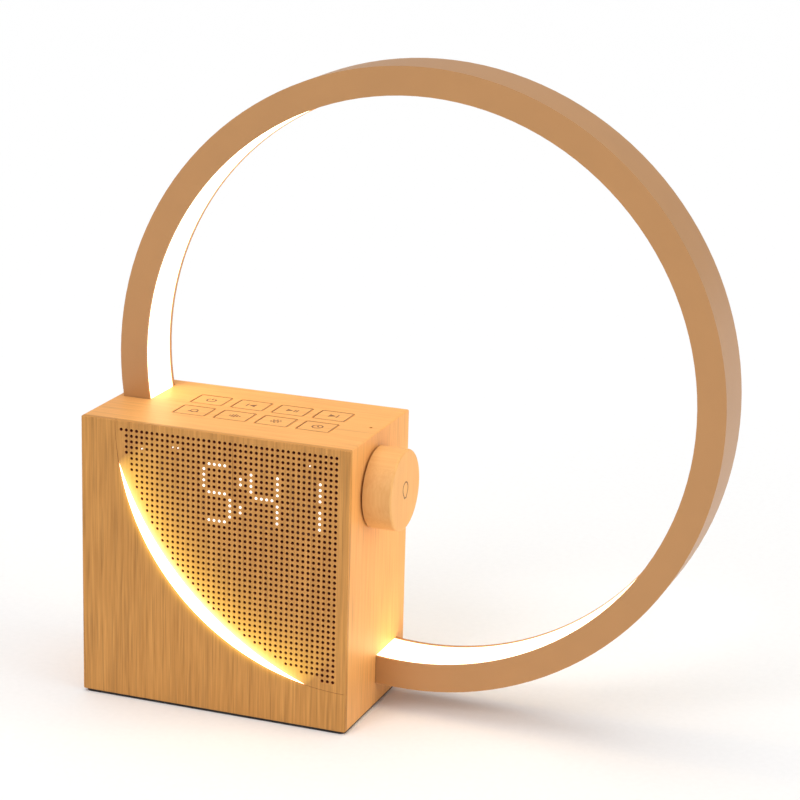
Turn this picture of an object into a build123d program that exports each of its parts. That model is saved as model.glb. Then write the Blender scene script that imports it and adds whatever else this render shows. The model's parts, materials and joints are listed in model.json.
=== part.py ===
from build123d import *
from math import acos, asin, cos, degrees, hypot, radians, sin, sqrt
import os

# Alarm clock with a ring lamp. Millimetres, +Z up, the front faces -Y.
# The origin is the centre of the base pad's underside.

# Case
CASE_W = 109.0
CASE_D = 61.0
CASE_H = 110.0
WALL = 2.0
EDGE_R = 0.6
PAD_T = 1.0
PAD_INSET = 0.8
GAP = 0.3
SEAM = 0.12

# Ring lamp: a U-shaped channel bent about an axis along Y
RING_X = 65.8
RING_Z = 128.3
RING_R = 119.0
RING_T = 10.7
RING_FRONT = 0.5
RING_DEPTH = 22.7
RING_WEB = 1.5
RING_FLANGE = 1.2
RING_INSERT = 24.0
DIFFUSER_T = 2.0
DIFFUSER_DROP = 0.25
DIFFUSER_LEG = 1.2
FIT = 0.1

# Front: a quarter disc of grille, edged by a lit crescent
ARC_R = 94.8
CRESCENT_T = 5.1
CRESCENT_HALF_ANGLE = 35.4
HOLE_D = 1.25
HOLE_COLUMNS = 42
HOLE_ROWS = 41
HOLE_PITCH_X = 2.12
HOLE_PITCH_Z = 2.18
HOLE_FIRST_X = -37.7
HOLE_FIRST_Z = 107.6
HOLE_EDGE_SHIFT = 22.1
HOLE_EDGE_R = 109.6

# Keys on the top
KEY_COLUMNS = 4
KEY_ROWS = 2
KEY_W = 13.0
KEY_D = 11.6
KEY_CORNER_R = 1.0
KEY_FIRST_X = -18.9
KEY_FIRST_Y = -6.4
KEY_PITCH_X = 16.85
KEY_PITCH_Y = 15.8
KEY_GAP = 0.35
KEY_TRAVEL = 0.5

# Knob on the right side
KNOB_R = 15.5
KNOB_OUT = 12.0
KNOB_GAP = 0.8
KNOB_EDGE_R = 0.9
KNOB_Y = -4.4
KNOB_Z = 90.2
KNOB_PUSH = 0.5
SHAFT_R = 3.0
BUSHING_R = 3.5

# Loudspeaker
SPEAKER_X = 29.0
SPEAKER_Z = 52.0
SPEAKER_R = 22.5

# Fasteners and leads
SCREW_R = 1.0
SCREW_HEAD_R = 1.9
SCREW_HEAD_H = 1.3
SCREW_PLAY = 0.05
SCREW_HOLE_R = 1.15
BOSS_R = 3.2
POST_R = 2.3
LEAD_R = 0.7
BOARD_T = 1.6

# Faces worked out from the sizes above
LEFT, RIGHT = -CASE_W / 2, CASE_W / 2
FRONT, BACK = -CASE_D / 2, CASE_D / 2
BOTTOM, TOP = PAD_T, PAD_T + CASE_H
PANEL_BACK = FRONT + WALL
COVER_FRONT = BACK - WALL
INNER_LEFT, INNER_RIGHT = LEFT + WALL, RIGHT - WALL
INNER_BOTTOM, INNER_TOP = BOTTOM + WALL, TOP - WALL
RING_BACK = RING_FRONT + RING_DEPTH
RING_MID = (RING_FRONT + RING_BACK) / 2
RING_IN = RING_R - RING_T

# Layers behind the front, from front to back
MASK_BACK = PANEL_BACK + 2.0
DISPLAY_BACK = MASK_BACK + 1.2
BAFFLE_FRONT = -25.0
BAFFLE_BACK = -23.0

# Heights under the top
KEY_FLANGE_T = 1.1
KEY_FLANGE_OUT = 0.95
KEY_FLANGE_TOP = INNER_TOP - GAP
KEY_BOARD_TOP = INNER_TOP - 7.1
KEY_BOARD_BOTTOM = KEY_BOARD_TOP - BOARD_T
SWITCH_TOP = KEY_BOARD_TOP + 3.5
KEY_STEM_BOTTOM = SWITCH_TOP + KEY_TRAVEL + GAP

# Main board
BOARD_BOTTOM = INNER_BOTTOM + 4.0
BOARD_TOP = BOARD_BOTTOM + BOARD_T
PLUG_H = 4.0
PLUG_TOP = BOARD_TOP + PLUG_H

# Screw and lead positions
CORNER_IN = 3.0
CORNERS = [
    (x, z)
    for x in (INNER_LEFT + CORNER_IN, INNER_RIGHT - CORNER_IN)
    for z in (INNER_BOTTOM + CORNER_IN, INNER_TOP - CORNER_IN)
]
KEY_BOARD_X = (-31.4, 52.0)
KEY_BOARD_Y = (-14.3, 17.0)
KEY_BOARD_POSTS = [(x, y) for x in (-28.9, 45.0) for y in (-11.0, 14.0)]
MAIN_BOARD_X = (-45.0, 25.0)
MAIN_BOARD_Y = (-20.0, 25.0)
MAIN_BOARD_POSTS = [(x, y) for x in (-41.0, 21.0) for y in (-16.0, 21.0)]
EAR_Y = -6.0
UPPER_CLAMP_POSTS = [-46.5, -36.5]
LOWER_CLAMP_POSTS = [12.0, 23.0]
MICROPHONE = (50.2, 0.9)
SPEAKER_PLUG = (8.0, -15.0)
RING_PLUG = (14.0, RING_MID)
KNOB_PLUG = (21.0, -0.5)
KEY_PLUG = (-30.0, 8.0)
DISPLAY_PLUG = (-18.0, -15.0)
CRESCENT_PLUG = (-9.9, -15.0)
DISPLAY_LEAD_Z = 80.0
CRESCENT_LEAD_Z = 46.6
USB_X = -20.0

FROM_START = (Align.CENTER, Align.CENTER, Align.MIN)
TO_START = (Align.CENTER, Align.CENTER, Align.MAX)


# Helpers

def block(x0, x1, y0, y1, z0, z1):
    """Box between two corners."""
    centre = Pos((x0 + x1) / 2, (y0 + y1) / 2, (z0 + z1) / 2)
    return centre * Box(x1 - x0, y1 - y0, z1 - z0)


def rod(start, end, radius):
    """Cylinder from one point to another."""
    along = Vector(*end) - Vector(*start)
    plane = Plane(origin=start, z_dir=along)
    return plane * Cylinder(radius, along.length, align=FROM_START)


def front_slab(outline, y0, y1):
    """Plate of an outline drawn in (x, z), from y0 back to y1."""
    return extrude(Plane.XZ.offset(-y1) * outline, y1 - y0, dir=(0, -1, 0))


def flat_slab(outline, z0, z1):
    """Plate of an outline drawn in (x, y), from z0 up to z1."""
    return extrude(Plane.XY.offset(z0) * outline, z1 - z0, dir=(0, 0, 1))


def turned(outline, x, z):
    """Solid of revolution about a line along Y, from an outline of (radius, y)."""
    return Pos(x, 0, z) * revolve(make_face(outline), Axis.Y)


def arc_bar(x, z, inner_r, outer_r, y0, y1, start, end):
    """Bar bent about a line along Y, between two angles in degrees from +X."""
    inner = CenterArc((x, z), inner_r, start, end - start)
    outer = CenterArc((x, z), outer_r, start, end - start)
    ends = [Line(inner @ 0, outer @ 0), Line(inner @ 1, outer @ 1)]
    return front_slab(make_face([inner, outer] + ends), y0, y1)


def group(solids):
    """Separate solids that share one node."""
    return Compound(children=solids)


def screw(seat, direction, length):
    """Pan-head screw with a cross recess; seat is the point under its head."""
    recess_l, recess_w, recess_depth = 2.0, 0.5, 0.7
    shank = Cylinder(SCREW_R, length, align=FROM_START)
    head = Cylinder(SCREW_HEAD_R, SCREW_HEAD_H, align=TO_START)
    floor = Pos(0, 0, -SCREW_HEAD_H)
    recess = floor * Box(recess_l, recess_w, recess_depth, align=FROM_START)
    recess += floor * Box(recess_w, recess_l, recess_depth, align=FROM_START)
    return Plane(origin=seat, z_dir=direction) * (shank + head - recess)


def lead(points, bend):
    """Insulated lead of straight runs joined by tangent arcs."""
    path = FilletPolyline(*points, radius=bend)
    section = Plane(origin=path @ 0, z_dir=path % 0) * Circle(LEAD_R)
    return sweep(section, path=path)


def disc(centre, radius):
    return Pos(*centre) * Circle(radius)


# Ring geometry

UPPER_END = 180 + degrees(asin((RING_Z - TOP + RING_INSERT) / (RING_R - RING_T / 2)))
LOWER_END = 180 + degrees(acos((RING_X - RIGHT + RING_INSERT) / (RING_R - RING_T / 2)))


def ring_bar(inner_r, outer_r, y0, y1, start=LOWER_END, end=UPPER_END + 360):
    return arc_bar(RING_X, RING_Z, inner_r, outer_r, y0, y1, start, end)


def ring_point(radius, angle):
    """Point (x, z) of the ring's plane."""
    a = radians(angle)
    return RING_X + radius * cos(a), RING_Z + radius * sin(a)


# Front geometry: the grille's disc is centred on the case's top right corner

CORNER = (RIGHT, TOP)


def crescent_inner_circle():
    """Circle through the crescent's two tips and the middle of its inner edge."""
    tip_along = ARC_R * cos(radians(CRESCENT_HALF_ANGLE))
    middle = ARC_R - CRESCENT_T
    shift = (ARC_R ** 2 - middle ** 2) / (2 * (middle - tip_along))
    offset = shift / sqrt(2)
    return (RIGHT + offset, TOP + offset), shift + middle


INNER_CENTRE, INNER_R = crescent_inner_circle()
FACE = Pos(0, (BOTTOM + TOP) / 2) * Rectangle(CASE_W, CASE_H)


def hole_centre(column, row):
    return HOLE_FIRST_X + column * HOLE_PITCH_X, HOLE_FIRST_Z - row * HOLE_PITCH_Z


def grille_holes():
    """Centres of the grille's holes, bounded by a flat arc inside the crescent."""
    offset = HOLE_EDGE_SHIFT / sqrt(2)
    centres = []
    for row in range(HOLE_ROWS):
        for column in range(HOLE_COLUMNS):
            x, z = hole_centre(column, row)
            if hypot(x - RIGHT - offset, z - TOP - offset) <= HOLE_EDGE_R:
                centres.append((x, z))
    return centres


# Display geometry: each digit is seven segments of four dots

SEGMENTS = {
    "top": [(c, 0) for c in range(1, 5)],
    "middle": [(c, 5) for c in range(1, 5)],
    "bottom": [(c, 10) for c in range(1, 5)],
    "upper_left": [(0, r) for r in range(1, 5)],
    "upper_right": [(5, r) for r in range(1, 5)],
    "lower_left": [(0, r) for r in range(6, 10)],
    "lower_right": [(5, r) for r in range(6, 10)],
}
DIGIT_ROW = 4
DIGITS = {
    8: [],
    16: ["top", "upper_left", "middle", "lower_right", "bottom"],
    25: ["upper_left", "upper_right", "middle", "lower_right"],
    33: ["upper_right", "lower_right"],
}
COLON = [(23, row) for row in (6, 7, 11, 12)]
INDICATORS = [(4, 3), (10, 2), (11, 2), (36, 2)]


def display_dots(lit):
    """Column and row of each dot that is lit, or of each that is not."""
    dots = COLON + INDICATORS if lit else []
    for column, shown in DIGITS.items():
        for name, cells in SEGMENTS.items():
            if (name in shown) == lit:
                dots = dots + [(column + c, DIGIT_ROW + r) for c, r in cells]
    return dots


def display_outline():
    """The display's board, kept clear of the crescent."""
    margin = 2.4
    x0, z0 = hole_centre(4, DIGIT_ROW + 10)
    x1, z1 = hole_centre(38, 2)
    width, height = x1 - x0 + 2 * margin, z1 - z0 + 2 * margin
    board = Pos((x0 + x1) / 2, (z0 + z1) / 2) * Rectangle(width, height)
    return board & disc(CORNER, LED_ARC_IN - 1.0)


# Case and covers

def case_envelope():
    box = block(LEFT, RIGHT, FRONT, BACK, BOTTOM, TOP)
    return fillet(box.edges(), EDGE_R)


ENVELOPE = case_envelope()


def key_centres():
    """Key centres, the front row from left to right and then the back row."""
    return [
        (KEY_FIRST_X + column * KEY_PITCH_X, KEY_FIRST_Y + row * KEY_PITCH_Y)
        for row in range(KEY_ROWS)
        for column in range(KEY_COLUMNS)
    ]


def case_posts():
    """Posts and corner bosses moulded inside the case."""
    baffle_boss_end, cover_boss_start = -15.0, 25.5
    posts = []
    for x, z in CORNERS:
        posts.append(rod((x, BAFFLE_BACK, z), (x, baffle_boss_end, z), BOSS_R))
        posts.append(rod((x, cover_boss_start, z), (x, COVER_FRONT, z), BOSS_R))
    for x, y in KEY_BOARD_POSTS:
        posts.append(rod((x, y, KEY_BOARD_TOP), (x, y, INNER_TOP), POST_R))
    for x, y in MAIN_BOARD_POSTS:
        posts.append(rod((x, y, INNER_BOTTOM), (x, y, BOARD_BOTTOM), POST_R))
    for x in UPPER_CLAMP_POSTS:
        posts.append(rod((x, EAR_Y, UPPER_EAR_TOP), (x, EAR_Y, INNER_TOP), POST_R))
    for z in LOWER_CLAMP_POSTS:
        posts.append(rod((LOWER_EAR_X, EAR_Y, z), (INNER_RIGHT, EAR_Y, z), POST_R))
    return posts


def pilot_holes():
    """Screw holes in the posts and bosses."""
    radius = SCREW_R + SCREW_PLAY
    holes = []
    for x, z in CORNERS:
        holes.append(rod((x, BAFFLE_BACK, z), (x, BAFFLE_BACK + 6.5, z), radius))
        holes.append(rod((x, COVER_FRONT - 2.8, z), (x, COVER_FRONT, z), radius))
    for x, y in KEY_BOARD_POSTS:
        holes.append(rod((x, y, KEY_BOARD_TOP), (x, y, KEY_BOARD_TOP + 4.5), radius))
    for x, y in MAIN_BOARD_POSTS:
        holes.append(rod((x, y, INNER_BOTTOM + 0.5), (x, y, BOARD_BOTTOM), radius))
    for x in UPPER_CLAMP_POSTS:
        holes.append(rod((x, EAR_Y, UPPER_EAR_TOP), (x, EAR_Y, UPPER_EAR_TOP + 4.5), radius))
    for z in LOWER_CLAMP_POSTS:
        holes.append(rod((LOWER_EAR_X, EAR_Y, z), (LOWER_EAR_X + 4.2, EAR_Y, z), radius))
    return holes


def key_outline(grow):
    return RectangleRounded(KEY_W + 2 * grow, KEY_D + 2 * grow, KEY_CORNER_R + grow)


def main_case():
    """Four-walled sleeve, open at the front and back."""
    shell = ENVELOPE & block(LEFT, RIGHT, PANEL_BACK, BACK, BOTTOM, TOP)
    shell -= block(INNER_LEFT, INNER_RIGHT, FRONT, BACK, INNER_BOTTOM, INNER_TOP)
    shell = shell + case_posts() - pilot_holes()
    ring_slot = ring_bar(
        RING_IN - GAP, RING_R + GAP, RING_FRONT - GAP, RING_BACK + GAP, LOWER_END + 5, UPPER_END + 355
    )
    shell -= ring_slot
    for x, y in key_centres():
        shell -= flat_slab(Pos(x, y) * key_outline(KEY_GAP), INNER_TOP, TOP)
    shell -= rod((INNER_RIGHT, KNOB_Y, KNOB_Z), (RIGHT, KNOB_Y, KNOB_Z), BUSHING_R + FIT)
    shell -= rod((*MICROPHONE, INNER_TOP), (*MICROPHONE, TOP), 0.7)
    return shell


def front_panel():
    """Plain part of the front, below and left of the arc."""
    return front_slab(FACE - disc(CORNER, ARC_R), FRONT, PANEL_BACK) & ENVELOPE


def speaker_grille():
    """Perforated quarter disc, cut back along its edge for the crescent."""
    outline = FACE & disc(CORNER, ARC_R - SEAM) & disc(INNER_CENTRE, INNER_R - SEAM)
    edge = outline.face().outer_wire()
    holes = [Wire([Edge.make_circle(HOLE_D / 2, Plane((x, z, 0)))]) for x, z in grille_holes()]
    plate = front_slab(Face(edge, holes), FRONT, PANEL_BACK)
    return plate & ENVELOPE


def rear_cover():
    """Plate that drops into the back of the sleeve, with the power inlet's hole."""
    play, hole_play = 0.15, 0.4
    plate = block(
        INNER_LEFT + play, INNER_RIGHT - play, COVER_FRONT, BACK, INNER_BOTTOM + play, INNER_TOP - play
    )
    for x, z in CORNERS:
        plate -= rod((x, COVER_FRONT, z), (x, BACK, z), SCREW_HOLE_R)
        plate -= rod((x, BACK - SCREW_HEAD_H, z), (x, BACK, z), SCREW_HEAD_R + GAP)
    inlet = RectangleRounded(USB_W + 2 * hole_play, USB_H + 2 * hole_play, USB_H / 2)
    plate -= front_slab(Pos(USB_X, BOARD_TOP + USB_H / 2) * inlet, COVER_FRONT, BACK)
    return plate


def rear_cover_screws():
    seat = BACK - SCREW_HEAD_H
    return group([screw((x, seat, z), (0, -1, 0), 3.2) for x, z in CORNERS])


def base_pad():
    """Thin rubber sheet that the case stands on."""
    width, depth = CASE_W - 2 * PAD_INSET, CASE_D - 2 * PAD_INSET
    return flat_slab(RectangleRounded(width, depth, 2.0), 0, PAD_T)


# Crescent light

LED_ARC_IN = ARC_R - 7.3
LED_ARC_OUT = ARC_R - 0.8
LED_ARC_START = 225 - CRESCENT_HALF_ANGLE + 2
LED_ARC_END = 225 + CRESCENT_HALF_ANGLE - 2
LED_ARC_BOARD_T = 1.0


def crescent_diffuser():
    """Milky lens that fills the crescent, set just behind the front face."""
    sunk, depth = 0.3, 3.0
    outline = disc(CORNER, ARC_R - SEAM) - disc(INNER_CENTRE, INNER_R)
    return front_slab(outline, FRONT + sunk, FRONT + sunk + depth)


def crescent_led_board():
    board_front = BAFFLE_FRONT - LED_ARC_BOARD_T
    return arc_bar(*CORNER, LED_ARC_IN, LED_ARC_OUT, board_front, BAFFLE_FRONT, LED_ARC_START, LED_ARC_END)


def crescent_leds():
    """Row of lamps along the curved board."""
    count = 16
    radius = (LED_ARC_IN + LED_ARC_OUT) / 2
    step = (LED_ARC_END - LED_ARC_START) / count
    lamp_y = BAFFLE_FRONT - LED_ARC_BOARD_T - LAMP_T / 2
    lamps = []
    for i in range(count):
        turn = Rot(0, -(LED_ARC_START + (i + 0.5) * step), 0)
        lamps.append(Pos(RIGHT, lamp_y, TOP) * turn * Pos(radius, 0, 0) * Box(LAMP_W, LAMP_T, LAMP_W))
    return group(lamps)


# Display

def display_pins(lit):
    """Clear pins that carry each lamp's light through the grille."""
    sunk, play = 0.1, 0.12
    radius = HOLE_D / 2 - play
    pins = []
    for column, row in display_dots(lit):
        x, z = hole_centre(column, row)
        pins.append(rod((x, FRONT + sunk, z), (x, MASK_BACK, z), radius))
    return group(pins)


def display_mask():
    """Black plate that keeps each pin's light to itself."""
    edge = display_outline().face().outer_wire()
    centres = [hole_centre(*dot) for dot in display_dots(True) + display_dots(False)]
    holes = [Wire([Edge.make_circle(HOLE_D / 2, Plane((x, z, 0)))]) for x, z in centres]
    return front_slab(Face(edge, holes), PANEL_BACK, MASK_BACK)


def display_board():
    return front_slab(display_outline(), MASK_BACK, DISPLAY_BACK)


# Baffle, scrim and loudspeaker

SPEAKER_OPENING_R = 20.0
SPEAKER_SCREW_R = 21.2
CONE_BACK = BAFFLE_BACK + 7.8


def speaker_screw_centres():
    """Four points on the loudspeaker's flange."""
    reach = SPEAKER_SCREW_R / sqrt(2)
    return [(SPEAKER_X + i * reach, SPEAKER_Z + j * reach) for i in (-1, 1) for j in (-1, 1)]


def front_baffle():
    """Inner plate that carries the display, the crescent lamps and the loudspeaker."""
    scrim_back = PANEL_BACK + 0.3
    plate = block(
        INNER_LEFT + GAP, INNER_RIGHT - GAP, BAFFLE_FRONT, BAFFLE_BACK, INNER_BOTTOM + GAP, INNER_TOP - GAP
    )
    plate += rod((SPEAKER_X, scrim_back, SPEAKER_Z), (SPEAKER_X, BAFFLE_FRONT, SPEAKER_Z), SPEAKER_R - 0.5)
    plate -= rod((SPEAKER_X, scrim_back, SPEAKER_Z), (SPEAKER_X, BAFFLE_BACK, SPEAKER_Z), SPEAKER_OPENING_R)
    for x, z in CORNERS:
        plate -= rod((x, BAFFLE_FRONT, z), (x, BAFFLE_BACK, z), SCREW_HOLE_R)
    for x, z in speaker_screw_centres():
        plate -= rod((x, BAFFLE_FRONT - 1.0, z), (x, BAFFLE_BACK, z), SCREW_R + SCREW_PLAY)
    for x, z in ((DISPLAY_PLUG[0], DISPLAY_LEAD_Z), (CRESCENT_PLUG[0], CRESCENT_LEAD_Z)):
        plate -= rod((x, BAFFLE_FRONT, z), (x, BAFFLE_BACK, z), LEAD_R + GAP)
    return plate


def baffle_screws():
    return group([screw((x, BAFFLE_FRONT, z), (0, 1, 0), 8.0) for x, z in CORNERS])


def acoustic_scrim():
    """Black cloth behind the grille, below the display."""
    display_bottom = hole_centre(0, DIGIT_ROW + 10)[1] - 2.6
    cloth = Pos(0, (BOTTOM + TOP) / 2) * Rectangle(CASE_W - 6, CASE_H - 6)
    cloth = cloth & disc(CORNER, LED_ARC_IN - 1.0)
    cloth -= Pos(0, display_bottom + CASE_H / 2) * Rectangle(CASE_W, CASE_H)
    return front_slab(cloth, PANEL_BACK, PANEL_BACK + 0.3)


def speaker_basket():
    """Pressed frame with its flange, four windows and terminal block."""
    y = BAFFLE_BACK
    outline = Polyline(
        (18.5, y), (SPEAKER_R, y), (SPEAKER_R, y + 1.2), (19.2, y + 1.2), (13.5, y + 11), (7.2, y + 11),
        (7.2, y + 10), (12.8, y + 10), (18.5, y + 1.4), close=True
    )
    frame = turned(outline, SPEAKER_X, SPEAKER_Z)
    for angle in (0, 90):
        window = Box(2 * SPEAKER_R, 5.0, 12.0)
        frame -= Pos(SPEAKER_X, y + 5.8, SPEAKER_Z) * Rot(0, angle, 0) * window
    for x, z in speaker_screw_centres():
        frame -= rod((x, y, z), (x, y + 1.2, z), SCREW_HOLE_R - 0.1)
    terminal = block(SPEAKER_X - 14.5, SPEAKER_X - 10.5, y + 6.5, y + 9.5, SPEAKER_Z - 14.5, SPEAKER_Z - 9.5)
    return frame + terminal


def speaker_surround():
    """Rubber roll between the cone and the flange."""
    y = BAFFLE_BACK
    outer_roll = ThreePointArc((18.7, y - 0.3), (17.4, y - 1.7), (16.1, y - 0.3))
    inner_roll = ThreePointArc((16.4, y), (17.4, y - 1.3), (18.4, y))
    outline = [
        Polyline((18.4, y), (19.8, y), (19.8, y - 0.3), (18.7, y - 0.3)),
        outer_roll,
        Polyline((16.1, y - 0.3), (15.6, y - 0.3), (15.6, y), (16.4, y)),
        inner_roll,
    ]
    return turned(outline, SPEAKER_X, SPEAKER_Z)


def speaker_cone():
    y = BAFFLE_BACK
    outline = Polyline((15.7, y), (16.3, y), (6.5, CONE_BACK), (5.9, CONE_BACK), close=True)
    return turned(outline, SPEAKER_X, SPEAKER_Z)


def speaker_dust_cap():
    """Domed cap over the middle of the cone."""
    rim_r, rise, wall = 5.85, 3.2, 0.4
    radius = (rim_r ** 2 + rise ** 2) / (2 * rise)
    peak = CONE_BACK - rise
    dome = Pos(SPEAKER_X, peak + radius, SPEAKER_Z) * (Sphere(radius) - Sphere(radius - wall))
    return dome & block(
        SPEAKER_X - radius, SPEAKER_X + radius, peak, CONE_BACK, SPEAKER_Z - radius, SPEAKER_Z + radius
    )


def speaker_voice_coil():
    y = CONE_BACK
    outline = Polyline((5.9, y), (6.3, y), (6.3, y + 7.0), (5.9, y + 7.0), close=True)
    return turned(outline, SPEAKER_X, SPEAKER_Z)


def speaker_magnet():
    """Magnet and yoke, with the gap that the voice coil moves in."""
    y = BAFFLE_BACK + 11
    outline = Polyline(
        (0, y), (5.3, y), (5.3, y + 6), (7.0, y + 6), (7.0, y), (13.5, y), (13.5, y + 8), (0, y + 8),
        close=True
    )
    return turned(outline, SPEAKER_X, SPEAKER_Z)


def speaker_screws():
    seat = BAFFLE_BACK + 1.2
    return group([screw((x, seat, z), (0, -1, 0), 3.0) for x, z in speaker_screw_centres()])


# Keys

KEY_NAMES = [
    "key_alarm", "key_sound", "key_light", "key_timer",
    "key_power", "key_previous", "key_play", "key_next",
]


def key(x, y):
    """Flush key with a retaining flange and a stem over its switch."""
    flange_bottom = KEY_FLANGE_TOP - KEY_FLANGE_T
    cap = flat_slab(Pos(x, y) * key_outline(0), flange_bottom, TOP)
    flange = flat_slab(Pos(x, y) * key_outline(KEY_FLANGE_OUT), flange_bottom, KEY_FLANGE_TOP)
    stem = rod((x, y, KEY_STEM_BOTTOM), (x, y, flange_bottom), 1.5)
    top_edges = cap.faces().sort_by(Axis.Z)[-1].edges()
    return fillet(top_edges, 0.12) + flange + stem


def key_board():
    """Board under the keys."""
    board = block(*KEY_BOARD_X, *KEY_BOARD_Y, KEY_BOARD_BOTTOM, KEY_BOARD_TOP)
    for x, y in KEY_BOARD_POSTS:
        board -= rod((x, y, KEY_BOARD_BOTTOM), (x, y, KEY_BOARD_TOP), SCREW_HOLE_R)
    return board


def key_switches():
    """Eight push switches."""
    size, button_h = 6.0, 0.9
    body_h = SWITCH_TOP - KEY_BOARD_TOP - button_h
    switches = []
    for x, y in key_centres():
        body = Pos(x, y, KEY_BOARD_TOP) * Box(size, size, body_h, align=FROM_START)
        switches.append(body + rod((x, y, SWITCH_TOP - button_h), (x, y, SWITCH_TOP), 1.75))
    return group(switches)


def key_board_screws():
    return group([screw((x, y, KEY_BOARD_BOTTOM), (0, 0, 1), 5.5) for x, y in KEY_BOARD_POSTS])


def microphone():
    return rod((*MICROPHONE, KEY_BOARD_TOP), (*MICROPHONE, INNER_TOP - GAP), 1.9)


# Knob and encoder

KNOB_START = RIGHT + KNOB_GAP
KNOB_END = RIGHT + KNOB_OUT
KNOB_WALL = 1.9
KNOB_ROOF = KNOB_END - KNOB_WALL
HUB_R = 5.5
HUB_START = 58.2
SHAFT_START = 46.35
SHAFT_END = KNOB_END - 2.4
FLAT_START = 57.6
FLAT_DEPTH = 1.4
ENCODER_BACK = 43.3
ENCODER_FRONT = 51.0
ENCODER_BOARD_T = 1.2
CAVITY_BACK = 44.3
BUSHING_END = RIGHT + 2.4


def knob_rod(x0, x1, radius):
    """Cylinder on the knob's axis."""
    return rod((x0, KNOB_Y, KNOB_Z), (x1, KNOB_Y, KNOB_Z), radius)


def knob_square(x0, x1, side):
    """Square block centred on the knob's axis."""
    half = side / 2
    return block(x0, x1, KNOB_Y - half, KNOB_Y + half, KNOB_Z - half, KNOB_Z + half)


def d_shape(x0, x1, radius):
    """Knob-axis cylinder with a flat along its top."""
    flat = block(x0, x1, KNOB_Y - radius, KNOB_Y + radius, KNOB_Z + radius - FLAT_DEPTH, KNOB_Z + radius)
    return knob_rod(x0, x1, radius) - flat


def knob():
    """Hollow turned cap."""
    cap = knob_rod(KNOB_START, KNOB_END, KNOB_R)
    outer_edge = cap.edges().sort_by(Axis.X)[-1]
    cap = fillet(outer_edge, KNOB_EDGE_R)
    return cap - knob_rod(KNOB_START, KNOB_ROOF, KNOB_R - KNOB_WALL)


def knob_hub():
    """Plastic hub pressed into the cap, with the shaft's D-shaped socket."""
    web_t = 1.7
    hub = knob_rod(HUB_START, KNOB_ROOF, HUB_R)
    hub += knob_rod(KNOB_ROOF - web_t, KNOB_ROOF, KNOB_R - KNOB_WALL)
    return hub - d_shape(HUB_START, SHAFT_END + 0.2, SHAFT_R + 0.02)


def encoder_shaft():
    return knob_rod(SHAFT_START, FLAT_START, SHAFT_R) + d_shape(FLAT_START, SHAFT_END, SHAFT_R)


def encoder_plunger():
    """Disc behind the shaft that is pushed in with the knob."""
    disc_t, disc_r, play = 1.0, 4.6, 0.05
    return knob_rod(SHAFT_START - play - disc_t, SHAFT_START - play, disc_r)


def encoder_body():
    """Square housing with its bushing through the case's wall."""
    collar_r, cavity_r, front_wall, shaft_play = 5.0, 5.2, 1.0, 0.05
    body = knob_square(ENCODER_BACK, ENCODER_FRONT, 12.4)
    body += knob_rod(ENCODER_FRONT, INNER_RIGHT, collar_r) + knob_rod(ENCODER_FRONT, BUSHING_END, BUSHING_R)
    body -= knob_rod(CAVITY_BACK, ENCODER_FRONT - front_wall, cavity_r)
    return body - knob_rod(CAVITY_BACK, BUSHING_END, SHAFT_R + shaft_play)


def encoder_nut():
    wall = Plane(origin=(RIGHT, KNOB_Y, KNOB_Z), z_dir=(1, 0, 0))
    hexagon = wall * RegularPolygon(5.0, 6, major_radius=False)
    return extrude(hexagon, 1.8, dir=(1, 0, 0)) - knob_rod(RIGHT, RIGHT + 1.8, BUSHING_R + SCREW_PLAY)


def encoder_board():
    return knob_square(ENCODER_BACK - ENCODER_BOARD_T, ENCODER_BACK, 16.0)


# Ring lamp

def ring_channel():
    """U-shaped channel, open towards the ring's middle."""
    bar = ring_bar(RING_IN, RING_R, RING_FRONT, RING_BACK)
    hollow = ring_bar(RING_IN, RING_R - RING_WEB, RING_FRONT + RING_FLANGE, RING_BACK - RING_FLANGE)
    return bar - hollow


def ring_diffuser():
    """Milky U-shaped strip that closes the channel."""
    face_in = RING_IN + DIFFUSER_DROP
    leg_end = RING_R - RING_WEB - FIT
    front, back = RING_FRONT + RING_FLANGE + FIT, RING_BACK - RING_FLANGE - FIT
    bar = ring_bar(face_in, leg_end, front, back)
    hollow = ring_bar(face_in + DIFFUSER_T, leg_end, front + DIFFUSER_LEG, back - DIFFUSER_LEG)
    return bar - hollow


STRIP_W = 10.0
STRIP_T = 0.4
STRIP_R = RING_R - RING_WEB - STRIP_T
LAMP_W = 2.8
LAMP_T = 0.8


def ring_led_strip():
    """Flexible board along the channel's web."""
    return ring_bar(STRIP_R, RING_R - RING_WEB, RING_MID - STRIP_W / 2, RING_MID + STRIP_W / 2)


def ring_leds():
    """Lamps along the flexible board."""
    spacing, seat_gap = 5.0, 0.03
    span = UPPER_END + 360 - LOWER_END
    count = int(span / spacing)
    lamps = []
    for i in range(count):
        turn = Rot(0, -(LOWER_END + (i + 0.5) * span / count), 0)
        place = Pos(RING_X, RING_MID, RING_Z) * turn * Pos(STRIP_R - seat_gap - LAMP_T / 2, 0, 0)
        lamps.append(place * Box(LAMP_T, LAMP_W, LAMP_W))
    return group(lamps)


CLAMP_FRONT = -2.0
CLAMP_BACK = 25.2
EAR_FRONT = -9.5
EAR_T = 4.0
UPPER_EAR_TOP = 102.0
LOWER_EAR_X = 48.0


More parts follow.
